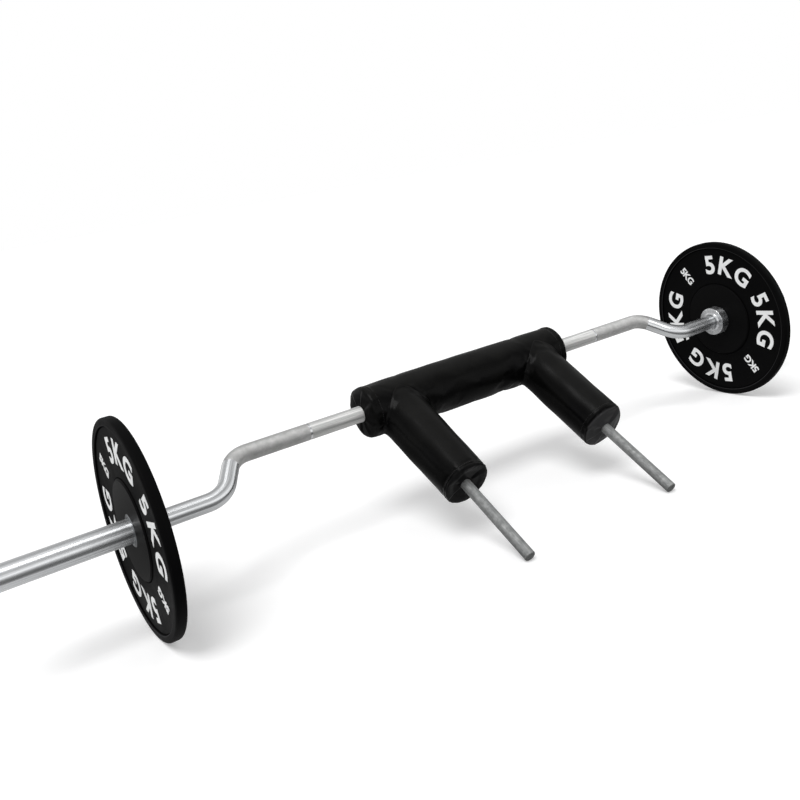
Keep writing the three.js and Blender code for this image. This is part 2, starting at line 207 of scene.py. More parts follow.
chromeLooks = {
    "colour": (0.57, 0.58, 0.59, 1),
    "streakColour": (0.13, 0.14, 0.15, 1),
    "mottle": {"Size": 0.05, "Contrast": 1.6},
    "scratches": {"Along": 4.0, "Across": 330.0, "Amount": 0.56},
    "relief": (0.3, 0.00003),
    "roughness": (0.31, 0.23),
    "grind": 0.95,
}
dullChromeLooks = {
    **chromeLooks,
    "colour": (0.20, 0.21, 0.22, 1),
    "streakColour": (0.10, 0.11, 0.11, 1),
    "scratches": {"Along": 4.0, "Across": 330.0, "Amount": 0.55},
    "relief": (0.3, 0.00004),
    "roughness": (0.50, 0.38),
    "grind": 0.85,
}


def chromePaint(tree, looks):
    cloud = useGroup(tree, mottle, objectPlace(tree), **looks["mottle"])
    lines = useGroup(tree, scratches, wrapPlace(tree), **looks["scratches"])
    return {
        "Base Color": mix(tree, lines, looks["colour"], looks["streakColour"]),
        "Roughness": clouded(tree, cloud, looks["roughness"]),
        "Normal": bumped(tree, lines, *looks["relief"]),
        **groundMetal(tree, looks["grind"]),
    }


satinLooks = {
    "darkColour": (0.24, 0.245, 0.245, 1),
    "lightColour": (0.355, 0.36, 0.355, 1),
    "streakColour": (0.13, 0.135, 0.135, 1),
    "mottle": {"Size": 0.013, "Contrast": 2.0},
    "scratches": {"Along": 30.0, "Across": 300.0, "Amount": 0.58},
    "pits": {"Cell": 0.0011, "Softness": 0.3},
    "relief": (0.6, 0.00008),
    "roughness": (0.80, 0.66),
}


def satinPaint(tree, looks):
    place = objectPlace(tree)
    cloud = useGroup(tree, mottle, place, **looks["mottle"])
    pits = useGroup(tree, grain, place, **looks["pits"])
    lines = useGroup(tree, scratches, wrapPlace(tree), **looks["scratches"])
    clean = mix(tree, cloud, looks["darkColour"], looks["lightColour"])
    return {
        "Base Color": mix(tree, lines, clean, looks["streakColour"]),
        "Roughness": clouded(tree, cloud, looks["roughness"]),
        "Normal": bumped(tree, pits, *looks["relief"]),
        "Metallic": 1.0,
    }


vinylLooks = {
    "colour": (0.0006, 0.0006, 0.0008, 1),
    "wornColour": (0.0024, 0.0024, 0.0022, 1),
    # painted light: the paler colour of the drawn closures, as if lit
    "closureLightColour": (0.025, 0.025, 0.0255, 1),
    # painted light: a paler colour where the skin faces up, as if lit from above
    "topLightColour": (0.0105, 0.0104, 0.0100, 1),
    "topLightSlope": (0.55, 0.95),
    "topLightShares": (0.6, 1.0),
    "mottle": {"Size": 0.07, "Contrast": 2.0},
    "roughnessSpan": (0.25, 0.75),
    "roughness": (0.30, 0.46),
    "specular": 0.022,
    "glaze": 0.06,
    "glazeRoughness": 0.22,
    "grain": {"Cell": 0.0013, "Softness": 0.35},
    "grainRelief": (0.5, 0.00016),
    "warp": {"Scale": 9.0, "Detail": 2.0},
    "warpShare": 0.12,
    "creases": {"Scale": 16.0, "Detail": 2.0},
    "creaseRelief": (0.35, 0.0011),
}


def vinylPaint(tree, looks):
    place = objectPlace(tree)
    cloud = useGroup(tree, mottle, place, **looks["mottle"])
    leather = useGroup(tree, grain, place, **looks["grain"])
    warp = addNode(tree, "TexNoise", {"Vector": place, **looks["warp"]})[1]
    drift = mix(tree, looks["warpShare"], place, warp, "VECTOR")
    inputs = {"Vector": drift, **looks["creases"]}
    creases = addNode(tree, "TexNoise", inputs, noise_type="RIDGED_MULTIFRACTAL")[0]
    softCreases = bumped(tree, creases, *looks["creaseRelief"])
    # painted light: the closure attribute paints the drawn closures paler
    closure = addNode(tree, "Attribute", attribute_name="closure")["Fac"]
    # painted light: the skin is painted paler where it faces up, as if lit from above, more where the cloud says
    upwards = addNode(tree, "SeparateXYZ", (addNode(tree, "TexCoord")["Normal"],))[2]
    facingUpShare = remap(tree, upwards, *looks["topLightSlope"], 0.0, 1.0)
    paintedTopLight = times(tree, facingUpShare, clouded(tree, cloud, looks["topLightShares"]))
    bare = mix(tree, cloud, looks["colour"], looks["wornColour"])
    hide = mix(tree, paintedTopLight, bare, looks["topLightColour"])
    return {
        "Base Color": mix(tree, closure, hide, looks["closureLightColour"]),
        "Roughness": remap(tree, cloud, *looks["roughnessSpan"], *looks["roughness"]),
        "Normal": bumped(tree, leather, *looks["grainRelief"], Normal=softCreases),
        "Coat Normal": softCreases,
        "Specular IOR Level": looks["specular"],
        "Coat Weight": looks["glaze"],
        "Coat Roughness": looks["glazeRoughness"],
    }


rubberLooks = {
    "colour": (0.0010, 0.0010, 0.0011, 1),
    "duskColour": (0.0022, 0.0022, 0.0024, 1),
    "hubColour": (0.0030, 0.0030, 0.0031, 1),
    # painted highlight on the lip's edge and painted shade at the feet of the lip and the hub
    "edgeHighlightColour": (0.024, 0.024, 0.025, 1),
    "creviceShadeColour": (0.0002, 0.0002, 0.0002, 1),
    "mottle": {"Size": 0.09, "Contrast": 2.0},
    "grain": {"Cell": 0.0009, "Softness": 0.6},
    "relief": (0.45, 0.00012),
    "roughness": (0.52, 0.64),
    "hubRoughness": 0.40,
    "creviceShadeRoughness": 1.0,
    "specular": 0.03,
    "hubRadius": (0.0995, 0.1015),
    "highlightRing": (0.2092, 0.2108),
    "shadeRings": ((0.2064, 0.2088), (0.1036, 0.1062)),
    "ringFade": 0.0005,
}


def ringMask(tree, radius, inner, outer, fade):
    rising = remap(tree, radius, inner - fade, inner + fade, 0.0, 1.0)
    falling = remap(tree, radius, outer - fade, outer + fade, 1.0, 0.0)
    return times(tree, rising, falling)


def rubberPaint(tree, looks):
    place = objectPlace(tree)
    centred = addNode(tree, "Mapping", (place, (0.0, -axleY, -axleZ)))[0]
    split = addNode(tree, "SeparateXYZ", (centred,))
    squares = [math2(tree, "POWER", split[axis], 2.0) for axis in (1, 2)]
    radius = math2(tree, "SQRT", math2(tree, "ADD", *squares))
    cloud = useGroup(tree, mottle, place, **looks["mottle"])
    skin = useGroup(tree, grain, place, **looks["grain"])
    hub = remap(tree, radius, *looks["hubRadius"], 1.0, 0.0)
    # painted highlight: the lip's edge is painted lighter; painted shade: the feet of the lip and the hub are
    # painted darker and fully rough
    edge = ringMask(tree, radius, *looks["highlightRing"], looks["ringFade"])
    feet = [ringMask(tree, radius, *ring, looks["ringFade"]) for ring in looks["shadeRings"]]
    paintedShade = math2(tree, "MAXIMUM", *feet)
    web = mix(tree, cloud, looks["colour"], looks["duskColour"])
    face = mix(tree, hub, web, looks["hubColour"])
    # the lip's edge gets its painted highlight here
    worn = mix(tree, edge, face, looks["edgeHighlightColour"])
    rough = mix(tree, hub, clouded(tree, cloud, looks["roughness"]), looks["hubRoughness"], "FLOAT")
    return {
        "Base Color": mix(tree, paintedShade, worn, looks["creviceShadeColour"]),
        "Roughness": mix(tree, paintedShade, rough, looks["creviceShadeRoughness"], "FLOAT"),
        "Normal": bumped(tree, skin, *looks["relief"]),
        "Specular IOR Level": looks["specular"],
    }


# the plain materials mix two colours by a mask; their relief comes from a height, or from that mask
turnedLooks = {
    "mask": (mottle, {"Size": 0.012, "Contrast": 1.7}),
    "height": (scratches, {"Along": 2400.0, "Across": 20.0, "Amount": 0.6}),
    "relief": (0.5, 0.00005),
    "metallic": 1.0,
}
plainLooks = {
    "steel": {
        **turnedLooks,
        "colours": ((0.40, 0.40, 0.41, 1), (0.56, 0.57, 0.58, 1)),
        "roughness": (0.44, 0.29),
    },
    "bronze": {
        **turnedLooks,
        "colours": ((0.42, 0.27, 0.12, 1), (0.58, 0.39, 0.18, 1)),
        "roughness": (0.46, 0.31),
    },
    "thread": {
        "colours": ((0.014, 0.014, 0.015, 1), (0.05, 0.05, 0.05, 1)),
        "mask": (scratches, {"Along": 1500.0, "Across": 1500.0, "Amount": 0.6}),
        "relief": (0.6, 0.0001),
        "roughness": 0.6,
    },
    "foam": {
        "colours": ((0.02, 0.02, 0.022, 1), (0.07, 0.07, 0.075, 1)),
        "mask": (grain, {"Cell": 0.0016, "Softness": 0.1}),
        "maskSpan": (0.2, 1.0),
        "relief": (0.9, 0.0006),
        "roughness": 0.95,
    },
    "figure_white": {
        "colours": ((0.74, 0.75, 0.75, 1), (0.86, 0.865, 0.865, 1)),
        "mask": (mottle, {"Size": 0.02, "Contrast": 2.0}),
        "height": (grain, {"Cell": 0.0009, "Softness": 0.6}),
        "relief": (0.3, 0.0001),
        "roughness": 0.55,
    },
    "cap_plastic": {
        "colours": ((0.012, 0.012, 0.013, 1), (0.022, 0.022, 0.024, 1)),
        "mask": (mottle, {"Size": 0.01, "Contrast": 1.6}),
        "height": (grain, {"Cell": 0.0006, "Softness": 0.4}),
        "relief": (0.4, 0.0001),
        "roughness": 0.45,
    },
}


def plainPaint(tree, looks):
    place = objectPlace(tree)
    uses = (looks["mask"], looks.get("height", looks["mask"]))
    mask, height = [useGroup(tree, group, place, **values) for group, values in uses]
    share = remap(tree, mask, *looks.get("maskSpan", (0.0, 1.0)), 0.0, 1.0)
    return {
        "Base Color": mix(tree, share, *looks["colours"]),
        "Roughness": clouded(tree, mask, looks["roughness"]),
        "Normal": bumped(tree, height, *looks["relief"]),
        "Metallic": looks.get("metallic", 0.0),
    }


chrome = makeMaterial("chrome", chromePaint, chromeLooks)
dullChrome = makeMaterial("dull_chrome", chromePaint, dullChromeLooks)
satinChrome = makeMaterial("satin_chrome", satinPaint, satinLooks)
vinyl = makeMaterial("vinyl", vinylPaint, vinylLooks)
rubber = makeMaterial("rubber", rubberPaint, rubberLooks)
plain = {name: makeMaterial(name, plainPaint, looks) for name, looks in plainLooks.items()}
print("materials made")


# Modelling helpers


def deselectAll():
    if bpy.context.object and bpy.context.object.mode != "OBJECT":
        bpy.ops.object.mode_set(mode="OBJECT")
    bpy.ops.object.select_all(action="DESELECT")


def activate(piece):
    deselectAll()
    piece.select_set(True)
    bpy.context.view_layer.objects.active = piece


def added(name, operator, **settings):
    # the object that an operator adds, with nothing else selected
    deselectAll()
    operator(**settings)
    piece = bpy.context.object
    piece.name = piece.data.name = name
    return piece


def applyModifier(piece, kind, **settings):
    activate(piece)
    modifier = piece.modifiers.new(kind.lower(), kind)
    for key, value in settings.items():
        setattr(modifier, key, value)
    bpy.ops.object.modifier_apply(modifier=modifier.name)


def smoothByAngle(piece, degrees=35):
    activate(piece)
    bpy.ops.object.shade_smooth_by_angle(angle=math.radians(degrees))


def cleanMesh(piece):
    # merges doubled corners, drops loose edges and turns the faces outwards
    activate(piece)
    bpy.ops.object.mode_set(mode="EDIT")
    bpy.ops.mesh.select_all(action="SELECT")
    bpy.ops.mesh.remove_doubles(threshold=1e-6)
    bpy.ops.mesh.delete_loose()
    bpy.ops.mesh.select_all(action="SELECT")
    bpy.ops.mesh.normals_make_consistent(inside=False)
    bpy.ops.object.mode_set(mode="OBJECT")


def takeMesh(piece):
    kept = piece.data.copy()
    bpy.data.objects.remove(piece)
    return kept


def stamped(name, stamps):
    # one piece made of many copies, each given as a mesh and its place
    build = bmesh.new()
    for mesh, place in stamps:
        copy = mesh.copy()
        copy.transform(place)
        build.from_mesh(copy)
        bpy.data.meshes.remove(copy)
    mesh = bpy.data.meshes.new(name)
    build.to_mesh(mesh)
    build.free()
    piece = bpy.data.objects.new(name, mesh)
    scene.collection.objects.link(piece)
    return piece


def rounded(corners, steps=5):
    # corners are (x, y) or (x, y, fillet radius); a fillet becomes an arc of that radius
    points = []
    for index, corner in enumerate(corners):
        here = Vector(corner[:2])
        fillet = corner[2] if len(corner) > 2 else 0
        if fillet == 0:
            points.append(here)
            continue
        before = (Vector(corners[index - 1][:2]) - here).normalized()
        after = (Vector(corners[(index + 1) % len(corners)][:2]) - here).normalized()
        half = before.angle(after) / 2
        centre = here + (before + after).normalized() * (fillet / math.sin(half))
        start = here + before * (fillet / math.tan(half)) - centre
        turn = start.angle_signed(here + after * (fillet / math.tan(half)) - centre)
        for step in range(steps + 1):
            arm = start.copy()
            arm.rotate(Matrix.Rotation(-turn * step / steps, 2))
            points.append(centre + arm)
    return points


def turned(name, points, segments=96):
    # the half section as a closed ring of corners in the XZ plane, spun about X
    piece = added(name, bpy.ops.mesh.primitive_circle_add, vertices=len(points))
    for corner, (x, radius) in zip(piece.data.vertices, points):
        corner.co = (x, 0, radius)
    bpy.ops.object.mode_set(mode="EDIT")
    bpy.ops.mesh.select_all(action="SELECT")
    bpy.ops.mesh.spin(
        steps=segments, angle=2 * math.pi, use_auto_merge=True, center=(0, 0, 0), axis=(1, 0, 0)
    )
    cleanMesh(piece)
    wrapUv(piece)
    smoothByAngle(piece)
    return piece


def wrapUv(piece, radialShare=0.4):
    # U runs along the section of a turned piece and V round it, both in metres
    layer = piece.data.uv_layers.get("wrap") or piece.data.uv_layers.new(name="wrap")
    radius = max(math.hypot(vertex.co.y, vertex.co.z) for vertex in piece.data.vertices)
    for face in piece.data.polygons:
        middle = math.atan2(face.center.z, face.center.y)
        for loop in face.loop_indices:
            place = piece.data.vertices[piece.data.loops[loop].vertex_index].co
            swing = math.atan2(place.z, place.y) - middle
            swing = (swing + math.pi) % (2 * math.pi) - math.pi
            inwards = radius - math.hypot(place.y, place.z)
            layer.data[loop].uv = (place.x + radialShare * inwards, (middle + swing) * radius)


def cutAway(piece, radius, length, place):
    # takes a round hole out of a piece, its axis along place's X
    cutter = added("cutter", bpy.ops.mesh.primitive_cylinder_add, vertices=96, radius=radius, depth=length)
    cutter.data.transform(place @ Matrix.Rotation(math.pi / 2, 4, "Y"))
    applyModifier(piece, "BOOLEAN", operation="DIFFERENCE", object=cutter, solver="EXACT")
    bpy.data.objects.remove(cutter)
    smoothByAngle(piece)


def dress(piece, place, body, material, slot, *nodes):
    piece.data.transform(place)
    piece.data.update()
    piece.data.materials.clear()
    piece.data.materials.append(material)
    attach(piece, body)
    if nodes:
        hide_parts(*nodes)
    return piece


def distances(points):
    along = [0.0]
    for first, second in zip(points, points[1:]):
        along.append(along[-1] + (second - first).length)
    return along


# Shaft: one straight tube with its knurl wrapped on, then bent along the cranked route

shaft = {
    "radius": 0.019,
    "wall": 0.004,
    "camber": 0.096,
    "middleHalf": 0.622,
    "crankRun": 0.060,
    "innerBend": 0.058,
    "outerBend": 0.068,
    "end": 0.832,
    "knurlEnd": 0.641,
    "ringPlace": 0.438,
    "ringHalfWidth": 0.0026,
    "ringSlope": 0.15,
    "ringDepth": 0.00045,
    "bendSteps": 20,
    "segments": 72,
}
knurlLooks = {
    "knurlColour": (0.47, 0.47, 0.465, 1),
    "wornKnurlColour": (0.61, 0.61, 0.605, 1),
    "polishColour": (0.60, 0.61, 0.62, 1),
    "streakColour": (0.12, 0.13, 0.135, 1),
    "middleColour": (0.73, 0.73, 0.72, 1),
    "mottle": {"Size": 0.02, "Contrast": 2.2},
    "scratches": {"Along": 5.0, "Across": 380.0, "Amount": 0.57},
    "knurlRoughness": (1.035, 0.765),
    "polishRoughness": 0.27,
    "middleRoughness": 0.92,
    "grind": 0.95,
    "pitch": 0.0017,
    "slant": 0.62,
    "fade": 0.0008,
    "relief": (0.9, 0.0004),
}


def knurlPaint(tree, looks):
    wrap = wrapPlace(tree)
    along, around = addNode(tree, "SeparateXYZ", (wrap,))[:2]
    fade, ring, half = looks["fade"], shaft["ringPlace"], shaft["ringHalfWidth"]
    fromMiddle = math2(tree, "ABSOLUTE", math2(tree, "SUBTRACT", along, looks["halfLength"]))
    fromRing = math2(tree, "ABSOLUTE", math2(tree, "SUBTRACT", fromMiddle, ring))
    inside = remap(tree, fromMiddle, shaft["knurlEnd"] - fade, shaft["knurlEnd"] + fade, 1.0, 0.0)
    offRing = remap(tree, fromRing, half - fade / 2, half + fade / 2, 0.0, 1.0)
    beyondRing = remap(tree, fromMiddle, ring, ring + fade, 0.0, 1.0)
    knurled = times(tree, times(tree, inside, offRing), beyondRing)
    middle = times(tree, math2(tree, "SUBTRACT", 1.0, beyondRing), offRing)
    # whole rows of diamonds round the shaft, so that they close on themselves
    girth = 2 * math.pi * shaft["radius"]
    across = times(tree, around, round(girth / looks["pitch"]) / girth)
    slanted = times(tree, along, looks["slant"] / looks["pitch"])
    sums = [math2(tree, operation, across, slanted) for operation in ("ADD", "SUBTRACT")]
    ridges = [math2(tree, "PINGPONG", value, 0.5) for value in sums]
    diamonds = times(tree, math2(tree, "MINIMUM", *ridges), knurled)
    cloud = useGroup(tree, mottle, objectPlace(tree), **looks["mottle"])
    lines = useGroup(tree, scratches, wrap, **looks["scratches"])
    worn = mix(tree, cloud, looks["knurlColour"], looks["wornKnurlColour"])
    smooth = mix(tree, middle, looks["polishColour"], looks["middleColour"])
    streaked = mix(tree, lines, smooth, looks["streakColour"])
    smoothRough = remap(tree, middle, 0.0, 1.0, looks["polishRoughness"], looks["middleRoughness"])
    knurlRough = clouded(tree, cloud, looks["knurlRoughness"])
    return {
        "Base Color": mix(tree, knurled, streaked, worn),
        "Roughness": mix(tree, knurled, smoothRough, knurlRough, "FLOAT"),
        "Normal": bumped(tree, diamonds, *looks["relief"]),
        **groundMetal(tree, looks["grind"]),
    }


def shaftRoute():
    right = [
        (shaft["middleHalf"], shaft["camber"], shaft["innerBend"]),
        (shaft["middleHalf"] + shaft["crankRun"], 0, shaft["outerBend"]),
        (shaft["end"], 0),
    ]
    left = [(-corner[0], *corner[1:]) for corner in reversed(right)]
    return rounded(left + right, shaft["bendSteps"])


def makeShaft():
    route = shaftRoute()
    stations = distances(route)
    half = stations[-1] / 2
    slope = shaft["ringSlope"]
    rings = []
    for middle in (half - shaft["ringPlace"], half + shaft["ringPlace"]):
        for offset in (-1 - slope, -1, 1, 1 + slope):
            rings.append(middle + offset * shaft["ringHalfWidth"])

    def outerRadius(x):
        fromRing = abs(abs(x - half) - shaft["ringPlace"])
        inRing = fromRing < (1 + slope / 3) * shaft["ringHalfWidth"]
        return shaft["radius"] - (shaft["ringDepth"] if inRing else 0)

    outer = [(x, outerRadius(x)) for x in sorted(stations + rings)]
    inner = [(x, shaft["radius"] - shaft["wall"]) for x in reversed(stations)]
    piece = turned("shaft_tube", outer + inner, shaft["segments"])
    path = added("route", bpy.ops.curve.primitive_nurbs_path_add)
    path.data.splines.clear()
    spline = path.data.splines.new("POLY")
    spline.points.add(len(route) - 1)
    for point, (x, y) in zip(spline.points, route):
        point.co = (x, y, 0, 1)
    path.data.twist_mode = "Z_UP"
    applyModifier(piece, "CURVE", object=path, deform_axis="POS_X")
    bpy.data.objects.remove(path)
    finish = makeMaterial("knurled_chrome", knurlPaint, {**knurlLooks, "halfLength": half})
    dress(piece, barPlace, "bar", finish, "knurled_chrome", "shaft")


makeShaft()
print("shaft made")


# Handles: bare rods with a chamfered end, welded to the shaft inside the pads

handle = {
    "radius": 0.0125,
    "spacing": 0.419,
    "reach": 0.419,
    "edge": 0.0015,
    "faceDish": 0.0002,
    "gap": 0.0003,
    "notchLength": 0.1,
    "segments": 48,
}
neckPlace = barPlace @ Matrix.Translation((0, shaft["camber"], 0))


def armInNeck(side):
    # X runs out along the arm from the shaft's axis
    return Matrix.Translation((sides[side] * handle["spacing"] / 2, 0, 0)) @ outAlongArm


def armPlace(side):
    return neckPlace @ armInNeck(side)


def makeHandle(side):
    radius, edge, dish = handle["radius"], handle["edge"], handle["faceDish"]
    tip = shaft["camber"] + handle["reach"]
    outline = [
        (shaft["radius"] / 2, 0),
        (shaft["radius"] / 2, radius),
        (tip - edge, radius, edge / 3),
        (tip, radius - edge, edge / 4),
        (tip, radius / 2),
        (tip - dish, radius / 2 - dish),
        (tip - dish, 0),
    ]
    piece = turned(f"handle_rod_{side}", rounded(outline, 3), handle["segments"])
    cutAway(piece, shaft["radius"] + handle["gap"], handle["notchLength"], acrossArm)
    dress(piece, armPlace(side), "bar", satinChrome, "satin_chrome", f"handle_{side}")


for side in sides:
    makeHandle(side)
print("handles made")


# Sleeves, collars and end caps, which spin on the bar's ends

sleeve = {
    "radius": 0.025,
    "bore": 0.0185,
    "start": 0.8369,
    "end": 1.135,
    "edge": 0.002,
    "edgeFillet": 0.0006,
    "segments": 128,
}
collar = {
    "radius": 0.039,
    "start": 0.825,
    "end": 0.8535,
    "flange": 0.007,
    "edge": 0.0016,
    "bossRadius": 0.027,
    "bossHeight": 0.003,
    "bossFillet": 0.0011,
    "throat": 0.0197,
    "seat": 0.0255,
    "footFillet": 0.0008,
    "segments": 128,
}
cap = {
    "radius": 0.0182,
    "recess": 0.002,
    "thickness": 0.006,
    "edge": 0.001,
    "dishRadius": 0.0091,
    "dishDepth": 0.0015,
    "segments": 64,
}


def sleeveOutline():
    start, end, bore = sleeve["start"], sleeve["end"], sleeve["bore"]
    edge, fillet = sleeve["edge"], sleeve["edgeFillet"]
    return [
        (start, sleeve["radius"]),
        (end - edge, sleeve["radius"], fillet),
        (end, sleeve["radius"] - edge, fillet),
        (end, bore + fillet),
        (end - fillet, bore),
        (start, bore),
    ]


def collarOutline():
    start, end, flange = collar["start"], collar["end"], collar["start"] + collar["flange"]
    boss, height, fillet = collar["bossRadius"], collar["bossHeight"], collar["bossFillet"]
    return [
        (start - height, boss - height, fillet),
        (start - height / 2, boss - height / 3, fillet),
        (start, boss, collar["footFillet"]),
        (start, collar["radius"], collar["edge"]),
        (end, collar["radius"], collar["edge"]),
        (end, collar["seat"]),
        (flange, collar["seat"]),
        (flange, collar["throat"]),
        (start - height, collar["throat"], collar["footFillet"]),
    ]


def capOutline():
    face = sleeve["end"] - cap["recess"]
    back, floor, edge = face - cap["thickness"], face - cap["dishDepth"], cap["edge"]
    return [
        (back, 0),
        (back, cap["radius"]),
        (face, cap["radius"], edge),
        (face, cap["dishRadius"], edge / 2),
        (floor, cap["dishRadius"] - cap["dishDepth"], edge / 2),
        (floor, 0),
    ]


def endPlace(side):
    return axlePlace @ (halfTurn if sides[side] < 0 else Matrix.Identity(4))


for side in sides:
    for name, outline, sizes, finish, slot, node in (
        ("sleeve_tube", sleeveOutline(), sleeve, chrome, "chrome", "sleeve"),
        ("collar_ring", collarOutline(), collar, chrome, "chrome", "collar"),
        ("cap_disc", capOutline(), cap, plain["cap_plastic"], "cap_plastic", "end_cap"),
    ):
        piece = turned(f"{name}_{side}", rounded(outline), sizes["segments"])
        dress(piece, endPlace(side), f"sleeve_{side}", finish, slot, f"{node}_{side}")
print("sleeves made")

# The running gear stays as it is built, in turned steel and bronze

innerPieces = {
    "steel": ("handle_weld", "spindle", "retaining_washer", "retaining_bolt"),
    "bronze": ("inner_bush", "outer_bush", "thrust_washer"),
}
for finish, names in innerPieces.items():
    for node in [f"{name}_{side}" for name in names for side in sides]:
        for slot in frame["nodes"][node].material_slots:
            slot.material = plain[finish]
print("inner pieces finished")


# Bumper plates with raised figures and a steel hub

plate = {
    "radius": 0.225,
    "start": 0.8538,
    "thickness": 0.023,
    "rimFillet": 0.0055,
    "lipWidth": 0.010,
    "lipFillet": 0.0014,
    "recess": 0.004,
    "slope": 0.0015,
    "footFillet": 0.0010,
    "hubBase": 0.1045,
    "hubTop": 0.101,
    "hubFillet": 0.0015,
    "boreGap": 0.0003,
    "insertRadius": 0.0335,
    "insertBore": 0.0257,
    "insertEdge": 0.001,
    "segments": 192,
    "insertSegments": 96,
}
figures = {
    "height": 0.054,
    "middle": 0.160,
    "groupShares": (-35.2, 35.2),
    "pitchDegrees": 20.6,
    "smallHeight": 0.0225,
    "smallPitch": 0.0180,
    "raise": 0.0007,
    "arcMiddle": {"left": 43.5, "right": 52.0},
    "text": "5KG",
    "boldness": 0.028,
    "curveSteps": 6,
}


def plateFace():
    lip = plate["radius"] - plate["rimFillet"] - plate["lipWidth"]
    return [
        (0, plate["radius"], plate["rimFillet"]),
        (0, lip, plate["lipFillet"]),
        (plate["recess"], lip - plate["slope"], plate["footFillet"]),
        (plate["recess"], plate["hubBase"], plate["hubFillet"]),
        (0, plate["hubTop"], plate["hubFillet"]),
    ]


def makePlate(side):
    start, end = plate["start"], plate["start"] + plate["thickness"]
    bore = plate["insertRadius"] + plate["boreGap"]
    outline = [(end - depth, *rest) for depth, *rest in plateFace()]
    outline += [(end, bore), (start, bore)]
    outline += [(start + depth, *rest) for depth, *rest in reversed(plateFace())]
    piece = turned(f"plate_rubber_{side}", rounded(outline, 6), plate["segments"])
    dress(piece, endPlace(side), f"plate_{side}", rubber, "rubber", f"plate_{side}")
    outer, inner, edge = plate["insertRadius"], plate["insertBore"], plate["insertEdge"]
    insert = [(start, outer, edge), (end, outer, edge), (end, inner, edge), (start, inner, edge)]
    piece = turned(f"plate_insert_{side}", rounded(insert), plate["insertSegments"])
    dress(piece, endPlace(side), f"plate_{side}", dullChrome, "chrome", f"plate_hub_{side}")


def glyphMesh(letter):
    # one letter, a unit high and deep, centred, its back at z = 0
    text = added("letter", bpy.ops.object.text_add)
    text.data.body = letter
    text.data.align_x = "CENTER"
    text.data.offset = figures["boldness"]
    text.data.extrude = 0.5
    text.data.resolution_u = figures["curveSteps"]
    bpy.ops.object.convert(target="MESH")
    mesh = takeMesh(bpy.context.object)
    spans = [[vertex.co[axis] for vertex in mesh.vertices] for axis in range(3)]
    low, high = [min(span) for span in spans], [max(span) for span in spans]
    size = high[1] - low[1]
    mesh.transform(Matrix.Translation([-(low[0] + high[0]) / 2, -(low[1] + high[1]) / 2, -low[2]]))
    mesh.transform(Matrix.Diagonal((1 / size, 1 / size, 1 / (high[2] - low[2]), 1)))
    return mesh


def figureStamps(side, glyphs):
    # two large groups and a small lying one on each half of both faces
    stamps = []
    for facing in (-1, 1):
        outboard = facing == sides[side]
        depth = plate["thickness"] - plate["recess"] if outboard else plate["recess"]
        centre = Vector((sides[side] * (plate["start"] + depth), axleY, axleZ))
        raised = Vector((facing * figures["raise"], 0, 0))

        def stamp(letter, degrees, radius, height, lying):
            angle = math.radians(degrees)
            outwards = Vector((0, facing * math.sin(angle), math.cos(angle)))
            clockwise = Vector((0, facing * math.cos(angle), -math.sin(angle)))
            right, up = (-outwards, clockwise) if lying else (clockwise, outwards)
            turn = Matrix((right * height, up * height, raised)).transposed().to_4x4()
            stamps.append((glyphs[letter], Matrix.Translation(centre + outwards * radius) @ turn))

        for arc in (0, 180):
            middle = figures["arcMiddle"][side] + arc
            for group in figures["groupShares"]:
                for index, letter in enumerate(figures["text"], -1):
                    degrees = middle + group + index * figures["pitchDegrees"]
                    stamp(letter, degrees, figures["middle"], figures["height"], False)
            for index, letter in enumerate(figures["text"], -1):
                radius = figures["middle"] - index * figures["smallPitch"]
                stamp(letter, middle + 90, radius, figures["smallHeight"], True)
    return stamps


glyphs = {letter: glyphMesh(letter) for letter in figures["text"]}
for side in sides:
    makePlate(side)
    piece = stamped(f"plate_figures_{side}", figureStamps(side, glyphs))
    cleanMesh(piece)
    smoothByAngle(piece)
    dress(piece, Matrix.Identity(4), f"plate_{side}", plain["figure_white"], "rubber")
print("plates made")


# Pads: vinyl skins rolled from a grid, filled by cloth pressure, over foam rolls

pad = {
    "neckRadius": 0.0612,
    "armRadius": 0.0586,
    "overhang": 0.0765,
    "armReach": 0.199,
    "hole": 0.0006,
    "wall": 0.0014,
    "columns": 80,
    "step": 0.0055,
    "endStep": 0.0026,
    "endRun": 0.014,
    "endFade": (0.02, 0.004),
    "rimFade": 0.010,
    "closureShare": 0.62,
    "closureFillet": 0.010,
    "closureRise": 1.2,
    "steepShare": 0.18,
    "hemWidth": 0.0026,
    "gather": 0.0005,
    "gatherReach": 0.008,
    "seamSink": 0.0006,
    "web": 0.010,
    "crownWeb": 0.0018,
    "webLength": 0.026,
    "pucker": 0.0013,
    "puckerReach": 0.012,
    "seamBand": 0.010,
    "endBand": 0.001,
    "rootFade": 0.04,
    "waves": {"hem": (21, 2.2, 3), "neckSeam": (15, 1.7, 4), "armSeam": (13, 1.5, 3)},
    "seeds": {"neck": 3.0, "neckEnd": 2.0, "neckSeam": 20, "arm": 5.0},
    "lapDegrees": 262,
    "lapEdgeDegrees": 5,
    "lapRiseDegrees": (300, 360),
    "lapDepth": 0.0012,
    "wander": 0.0009,
    "wanderSize": 0.055,
    "wanderRound": 1.2,
}
